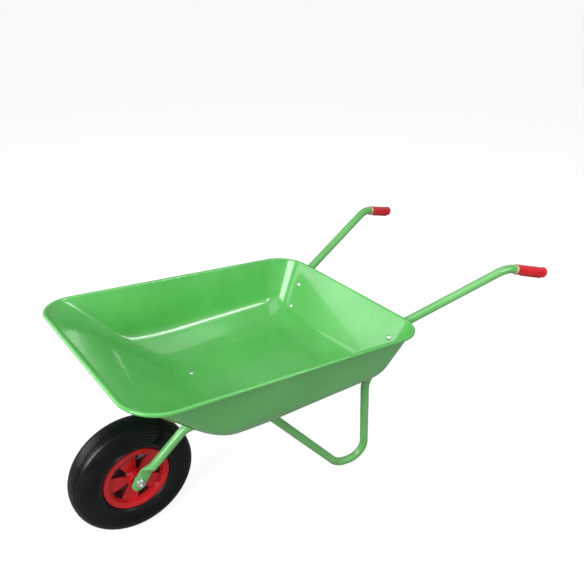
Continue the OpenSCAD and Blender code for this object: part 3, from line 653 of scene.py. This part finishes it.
def make_grip_ring(side):
    start = GRIP_LENGTH - GRIP_CAP + GAP
    profile = [(TUBE_R + GAP, 0), (TUBE_R + 1.6 * MM, 0), (TUBE_R + 2.0 * MM, 0.5 * MM),
               (TUBE_R + 2.0 * MM, RING_WIDTH - 2.2 * MM), (TUBE_R + 1.5 * MM, RING_WIDTH - 1.2 * MM),
               (TUBE_R + 0.7 * MM, RING_WIDTH - 0.3 * MM), (TUBE_R + GAP, RING_WIDTH)]
    rings = turned([(r, start + z) for r, z in profile], 48, grip_frame(side))
    points, faces = loft(rings, closed=True)
    mesh = mesh_from(f"grip_ring_skin_{SIDES[side]}", points, faces)
    add_piece(f"grip_ring_skin_{SIDES[side]}", mesh, "frame", "pale_plastic",
              replaces=(f"grip_ring_{SIDES[side]}",), sharp=50)


# =========================== wheel ===========================
BELLY_R = (SEAT_R + WHEEL_R) / 2
GROOVE_PITCH, GROOVE_DEPTH, GROOVE_HALF = 8.2 * MM, 2.2 * MM, 1.1 * MM
SIDE_GROOVES, SIDE_DEPTH = 6, 1.4 * MM
SIDE_TOP = WHEEL_R - 2.15 * GROOVE_PITCH
RIB_SWELL = 0.25 * MM
TYRE_SEGMENTS = 240


def crown_r(y):
    c = (abs(y) / TYRE_HALF) ** (1 / 0.75)
    return BELLY_R + (WHEEL_R - BELLY_R) * (1 - min(c * c, 1)) ** 0.45


def flank(share):
    return FLANGE_R + (BELLY_R - FLANGE_R) * share


def side_y(r):
    """Half width of the tyre at radius r."""
    rise = TYRE_HALF - RIM_HALF
    if r > BELLY_R:
        lift = ((r - BELLY_R) / (WHEEL_R - BELLY_R)) ** (1 / 0.9)
        return TYRE_HALF * max(1 - lift * lift, 0) ** 0.375
    return float(np.interp(r, [flank(0.07), flank(0.28), flank(0.57), BELLY_R],
                           [RIM_HALF + 1 * MM, RIM_HALF + rise * 0.57, RIM_HALF + rise * 0.91, TYRE_HALF]))


def groove(station, depth):
    """Four stations across one groove: edge, floor, floor, edge, as (station, depth)."""
    return [(station - GROOVE_HALF, 0), (station - GROOVE_HALF * 0.7, depth),
            (station + GROOVE_HALF * 0.7, depth), (station + GROOVE_HALF, 0)]


def tyre_outer_half():
    """From the bead up the ribbed side to the middle of the tread, as (radius, y)."""
    points = [(SEAT_R - 0.7 * MM, RIM_HALF - 14 * MM), (SEAT_R + 0.3 * MM, RIM_HALF - 8.3 * MM),
              (SEAT_R + 2.3 * MM, RIM_HALF - 6.3 * MM), (FLANGE_R - 2 * MM, RIM_HALF - 5.3 * MM),
              (FLANGE_R + 0.3 * MM, RIM_HALF - 4.3 * MM), (FLANGE_R + 1 * MM, RIM_HALF - 2 * MM)]
    points += [(r, side_y(r)) for r in (flank(0.07), flank(0.16), flank(0.28), flank(0.42))]
    for k in range(SIDE_GROOVES - 1, -1, -1):
        station = SIDE_TOP - k * GROOVE_PITCH
        points += [(r, side_y(r) - depth) for r, depth in groove(station, SIDE_DEPTH)]
        middle = station + GROOVE_PITCH / 2
        if k:
            points.append((middle, side_y(middle) + RIB_SWELL))
    shoulder = (points[-1][1] + 4 * GROOVE_PITCH + GROOVE_HALF) / 2
    points.append((crown_r(shoulder) + RIB_SWELL, shoulder))
    for k in range(4, -1, -1):
        for y, depth in reversed(groove(k * GROOVE_PITCH, GROOVE_DEPTH)):
            if y > 0:
                points.append((crown_r(y) - depth, y))
        middle = (k - 0.5) * GROOVE_PITCH
        if k:
            points.append((crown_r(middle) + RIB_SWELL / 2, middle))
    return points


def mirrored(profile):
    return profile + [(r, -y) for r, y in reversed(profile) if y > 1e-6]


def make_tyre():
    outer = mirrored(tyre_outer_half())
    wall = TYRE_WALL
    inner_half = [(SEAT_R + 3 * MM, RIM_HALF - 15 * MM), (flank(0.23), TYRE_HALF - 5 * MM - wall),
                  (flank(0.77), TYRE_HALF - wall)]
    for t in np.arange(0, 91, 10):
        a = math.radians(t)
        inner_half.append((BELLY_R + (WHEEL_R - wall - BELLY_R) * math.sin(a) ** 0.9,
                           (TYRE_HALF - wall) * max(math.cos(a), 0) ** 0.75))
    inner = list(reversed(mirrored(inner_half)))
    rings = turned(outer + inner, TYRE_SEGMENTS)
    points, faces = loft(rings, closed=True)
    mesh = mesh_from("tyre_tread", points, faces)
    add_piece("tyre_tread", mesh, "wheel", "tyre_rubber", replaces=("tyre",), sharp=38)


WINDOW_COLUMNS, SPOKE_COLUMNS = 8, 12
WINDOW_IN, WINDOW_OUT = HUB_R + 5 * MM, WEB_R - 3 * MM


def half_window(r):
    """Half the angle that a window takes at radius r."""
    share = min(max((r - WINDOW_IN) / (WINDOW_OUT - WINDOW_IN), 0), 1)
    return math.radians(11.9 + (17 - 11.9) * share)


def column_angles(r):
    """Angles of the mesh columns at radius r: for each spoke, a window and then a solid stretch."""
    half = half_window(r)
    pitch = 2 * math.pi / SPOKES
    out = []
    for i in range(SPOKES):
        centre = WINDOW_START + i * pitch
        out += [centre - half + 2 * half * j / WINDOW_COLUMNS for j in range(WINDOW_COLUMNS)]
        out += [centre + half + (pitch - 2 * half) * j / SPOKE_COLUMNS for j in range(SPOKE_COLUMNS)]
    return out


def make_rim():
    """One closed skin; the windows are rows of faces left out and walled from front to back."""
    steps = 7
    window_rows = [WINDOW_IN + (WINDOW_OUT - WINDOW_IN) * i / steps for i in range(steps + 1)]
    hub = [(12 * MM, HUB_HALF - 10 * MM), (16.02 * MM, HUB_HALF - 10 * MM), (16.02 * MM, HUB_HALF),
           (HUB_R - 1 * MM, HUB_HALF), (HUB_R, HUB_HALF - 1 * MM), (HUB_R, WEB_HALF + 2 * MM),
           (HUB_R + 1.5 * MM, WEB_HALF)]
    ring = [(WEB_R - 0.6 * MM, WEB_HALF), (WEB_R, WEB_HALF + 0.8 * MM), (WEB_R + 0.2 * MM, RIM_HALF - 5 * MM),
            (WEB_R + 1.2 * MM, RIM_HALF - 2.2 * MM), (WEB_R + 3.4 * MM, RIM_HALF - 1.0 * MM),
            (FLANGE_R - 3.5 * MM, RIM_HALF), (FLANGE_R - 1.4 * MM, RIM_HALF - 0.3 * MM),
            (FLANGE_R - 0.3 * MM, RIM_HALF - 1.3 * MM), (FLANGE_R, RIM_HALF - 2.6 * MM),
            (FLANGE_R - 0.4 * MM, RIM_HALF - 4.2 * MM), (FLANGE_R - 2.2 * MM, RIM_HALF - 5 * MM),
            (SEAT_R + 2 * MM, RIM_HALF - 6 * MM), (SEAT_R, RIM_HALF - 8 * MM),
            (SEAT_R - 1 * MM, RIM_HALF - 14 * MM), (SEAT_R - 4 * MM, RIM_HALF - 18 * MM)]
    half = hub + [(r, WEB_HALF) for r in window_rows] + ring
    first, last = len(hub), len(hub) + steps
    profile = [(r, y) for r, y in half] + [(r, -y) for r, y in reversed(half)]
    count, columns = len(profile), SPOKES * (WINDOW_COLUMNS + SPOKE_COLUMNS)
    points = []
    for r, y in profile:
        for a in column_angles(r):
            points.append((r * math.cos(a), y, WHEEL_R + r * math.sin(a)))

    def vertex(row, column):
        return row % count * columns + column % columns

    faces = []
    for row in range(count):
        mirrored_row = count - 2 - row
        in_window_rows = first <= row < last or first <= mirrored_row < last
        for column in range(columns):
            in_window = column % (WINDOW_COLUMNS + SPOKE_COLUMNS) < WINDOW_COLUMNS
            if in_window_rows and in_window:
                continue
            faces.append((vertex(row, column), vertex(row + 1, column),
                          vertex(row + 1, column + 1), vertex(row, column + 1)))
    for i in range(SPOKES):
        start = i * (WINDOW_COLUMNS + SPOKE_COLUMNS)
        border = [(first, start + j) for j in range(WINDOW_COLUMNS)]
        border += [(first + j, start + WINDOW_COLUMNS) for j in range(steps)]
        border += [(last, start + WINDOW_COLUMNS - j) for j in range(WINDOW_COLUMNS)]
        border += [(last - j, start) for j in range(steps)]
        for (row_a, col_a), (row_b, col_b) in zip(border, border[1:] + border[:1]):
            faces.append((vertex(row_a, col_a), vertex(row_b, col_b),
                          vertex(count - 1 - row_b, col_b), vertex(count - 1 - row_a, col_a)))
    mesh = mesh_from("rim_casting", points, faces)
    add_piece("rim_casting", mesh, "wheel", "red_plastic", replaces=("wheel_rim",), sharp=40,
              bevel=0.9 * MM, bevel_segments=3)


# =========================== fasteners ===========================
BOLT_R, BOLT_PITCH, HEAD_R = 3 * MM, 1.0 * MM, 8.25 * MM
WALL_BOLTS = ((62 * MM, 0.0), (127 * MM, 0.28 * MM))    # drop below the wall's top, hollow of the wall there
FLOOR_BOLT_BACK = 24 * MM
AXLE_R, AXLE_PITCH = 6 * MM, 1.75 * MM


def hex_nut(af, height, bore, turn=0.0, segments=72):
    """A chamfered hexagon nut about local Z, as (points, faces) with local coordinates."""
    angles = [2 * math.pi * j / segments for j in range(segments)]
    flat, corner = af / 2, af / math.sqrt(3)
    end_circle, lower, upper = [], [], []
    for a in angles:
        r = flat / math.cos((a - turn) % (math.pi / 3) - math.pi / 6)
        dip = height * (0.01 + 0.17 * (r - flat) / (corner - flat))
        end_circle.append((flat * 0.97 * math.cos(a), flat * 0.97 * math.sin(a)))
        lower.append((r * math.cos(a), r * math.sin(a), dip))
        upper.append((r * math.cos(a), r * math.sin(a), height - dip))
    rings = [[(x, y, 0) for x, y in end_circle], lower, upper, [(x, y, height) for x, y in end_circle]]
    for r, z in ((bore * 1.16, height), (bore, height * 0.9), (bore, height * 0.1), (bore * 1.16, 0)):
        rings.append([(r * math.cos(a), r * math.sin(a), z) for a in angles])
    return loft(rings, closed=True)


def lathe(profile, segments=48):
    """A turned piece about local Z from (radius, z) points."""
    start, end = profile[0][0] < 1e-6, profile[-1][0] < 1e-6
    core = profile[1 if start else 0:len(profile) - (1 if end else 0)]
    rings = [[(r * math.cos(2 * math.pi * j / segments), r * math.sin(2 * math.pi * j / segments), z)
              for j in range(segments)] for r, z in core]
    if start or end:
        return loft(rings, cap_start=start, cap_end=end)
    return loft(rings, closed=True)


def seat(shape, origin, axis, side):
    """Moves a local (points, faces) shape so that its Z lies along axis at origin."""
    w = unit(axis)
    u = unit(side - w * side.dot(w))
    v = w.cross(u)
    points, faces = shape
    return [origin + u * p[0] + v * p[1] + w * p[2] for p in points], faces


def threaded(radius, length, pitch=1.25 * MM, chamfer=1.2 * MM, start=0.0):
    """Profile of a threaded bar from start to its chamfered end."""
    profile = [(0.0, start), (radius - 0.5 * MM, start)]
    z = start + pitch / 2
    while z < length - chamfer - pitch:
        profile += [(radius - 0.6 * MM, z), (radius, z + pitch * 0.4), (radius, z + pitch * 0.55)]
        z += pitch
    profile += [(radius - 0.4 * MM, length - chamfer), (radius - chamfer, length), (0.0, length)]
    return profile


def bolt_places():
    """(origin on the tube's axis, outward direction, distance from the axis to the head's seat)."""
    wall_dir = Vector((math.sin(WALL_SLOPE), 0, -math.cos(WALL_SLOPE)))
    wall_seat = TUBE_R + SEAT_GAP + SHEET
    floor_x = WALL_X0 + FRONT_INSET + FLOOR_BOLT_BACK
    walls, floors = [], []
    for side in (LEFT, RIGHT):
        for drop, hollow in WALL_BOLTS:
            z = WALL_TOP - drop
            walls.append((at(side, behind_wall(z), z), wall_dir, wall_seat + hollow))
        floors.append((at(side, floor_x, RUN_Z), -UP, float(base_z(floor_x - HEAD_R)) - RUN_Z))
    return {"wall": walls, "floor": floors}


def make_tray_fasteners():
    head = [(0.0, -3.6), (2.2, -3.5), (4.4, -3.2), (6.1, -2.55), (7.2, -1.75), (7.95, -0.95),
            (8.25, -0.45), (8.2, 0.0), (3.0, 0.0), (3.0, 2.0)]
    head = [(r * MM, z * MM) for r, z in head] + [(0.0, 2 * MM)]
    washer = [(3.1, 0), (6.9, 0), (7.2, 0.25), (7.2, 1.25), (6.9, 1.5), (3.1, 1.5)]
    washer = [(r * MM, z * MM) for r, z in washer]
    washer_z = TUBE_R + GAP
    nut_z = washer_z + 1.6 * MM
    end_z = nut_z + 8 * MM
    for kind, places in bolt_places().items():
        bolts, washers, nuts = [], [], []
        for i, (origin, axis, reach) in enumerate(places):
            bolts.append(seat(lathe(head, 40), origin - axis * (reach + 0.15 * MM), axis, SIDEWAYS))
            shank = threaded(BOLT_R, end_z, pitch=BOLT_PITCH, chamfer=0.8 * MM, start=-reach + 1 * MM)
            bolts.append(seat(lathe(shank, 24), origin, axis, SIDEWAYS))
            washers.append(seat(lathe(washer, 48), origin + axis * washer_z, axis, SIDEWAYS))
            nut = hex_nut(10 * MM, 5 * MM, BOLT_R, turn=0.3 + i)
            nuts.append(seat(nut, origin + axis * nut_z, axis, SIDEWAYS))
        for word, parts in (("bolts", bolts), ("washers", washers), ("nuts", nuts)):
            name = f"{kind}_{word}"
            add_piece(f"{name}_turned", mesh_from(name, *join(parts)), "frame", "zinc_steel",
                      replaces=(name,), sharp=30)


def make_axle_hardware():
    tab_out = TAB_Y + TUBE_WALL
    washer_y = tab_out + 0.05 * MM
    nut_y = washer_y + 2.05 * MM
    end_y = nut_y + 13 * MM
    centre = Vector((0, 0, WHEEL_R))
    nuts, washers, bars = [], [], []
    washer = [(6.1, 0), (11.6, 0), (12, 0.3), (12, 1.7), (11.6, 2), (6.1, 2)]
    washer = [(r * MM, z * MM) for r, z in washer]
    for side in (LEFT, RIGHT):
        axis = Vector((0, side, 0))
        washers.append(seat(lathe(washer, 64), centre + axis * washer_y, axis, UP))
        nut = hex_nut(19 * MM, 10 * MM, AXLE_R, turn=math.radians(12), segments=96)
        nuts.append(seat(nut, centre + axis * nut_y, axis, UP))
        bars.append(seat(lathe(threaded(AXLE_R, end_y, pitch=AXLE_PITCH), 48), centre, axis, UP))
    for name, parts in (("axle_nuts", nuts), ("axle_washers", washers), ("axle", bars)):
        add_piece(f"{name}_turned", mesh_from(name, *join(parts)), "frame", "zinc_steel",
                  replaces=(name,), sharp=30)


# =========================== stage ===========================
FLOOR_GREY, FLOOR_GLOW_SEEN, FLOOR_HALF, FLOOR_DROP = 0.34, 0.80, 30, 0.0005
WORLD_LIGHT, WORLD_SEEN = 0.42, 1.0


def camera_share(tree, elsewhere, seen):
    """A value of `seen` for camera rays and `elsewhere` for all other light."""
    path = tree.nodes.new("ShaderNodeLightPath")
    pick = tree.nodes.new("ShaderNodeMapRange")
    tree.links.new(path.outputs["Is Camera Ray"], pick.inputs["Value"])
    pick.inputs["To Min"].default_value = elsewhere
    pick.inputs["To Max"].default_value = seen
    return pick.outputs["Result"]


def make_stage():
    """A plain pale floor; the camera sees it lifted towards white, with the object's shadow."""
    material = bpy.data.materials.new("floor")
    material.use_nodes = True
    tree = material.node_tree
    shader = tree.nodes["Principled BSDF"]
    shader.inputs["Base Color"].default_value = (FLOOR_GREY, FLOOR_GREY, FLOOR_GREY, 1)
    shader.inputs["Roughness"].default_value = 0.8
    shader.inputs["Specular IOR Level"].default_value = 0.0
    shader.inputs["Emission Color"].default_value = (1, 1, 1, 1)
    tree.links.new(camera_share(tree, 0.0, FLOOR_GLOW_SEEN), shader.inputs["Emission Strength"])
    corners = [(x * FLOOR_HALF, y * FLOOR_HALF, 0) for x, y in ((-1, -1), (1, -1), (1, 1), (-1, 1))]
    mesh = mesh_from("floor", corners, [(0, 1, 2, 3)])
    mesh.materials.append(material)
    floor = bpy.data.objects.new("floor", mesh)
    bpy.context.scene.collection.objects.link(floor)
    floor.location.z = -FLOOR_DROP


def area_light(name, location, target, size, size_y, power):
    data = bpy.data.lights.new(name, "AREA")
    data.shape = "RECTANGLE"
    data.size, data.size_y = size, size_y
    data.energy = power
    lamp = bpy.data.objects.new(name, data)
    lamp.location = location
    lamp.rotation_euler = (Vector(target) - Vector(location)).to_track_quat("-Z", "Y").to_euler()
    bpy.context.scene.collection.objects.link(lamp)


def make_lights():
    world = bpy.data.worlds.new("studio")
    bpy.context.scene.world = world
    world.use_nodes = True
    tree = world.node_tree
    background = tree.nodes["Background"]
    background.inputs["Color"].default_value = (1, 1, 1, 1)
    tree.links.new(camera_share(tree, WORLD_LIGHT, WORLD_SEEN), background.inputs["Strength"])
    area_light("overhead", (0.1, -0.95, 2.7), (0.1, 0, 0.4), 2.4, 2.0, 25)
    area_light("key", (-3.0, -0.9, 2.0), (0, 0, 0.35), 1.8, 1.8, 98)
    area_light("left_sheen", (-2.2, 1.85, 1.2), (0, 0, 0.4), 2.0, 1.5, 26)
    area_light("crease_strip", (1.23, -1.89, 1.65), (0, 0, 0.4), 0.9, 0.22, 13)


make_camera()
dress_cad_nodes()
make_tray()
for hand in (LEFT, RIGHT):
    make_tube(hand)
    make_grip(hand)
    make_grip_ring(hand)
make_tyre()
make_rim()
make_tray_fasteners()
make_axle_hardware()
make_stage()
make_lights()

bpy.context.scene.view_settings.view_transform = "Standard"
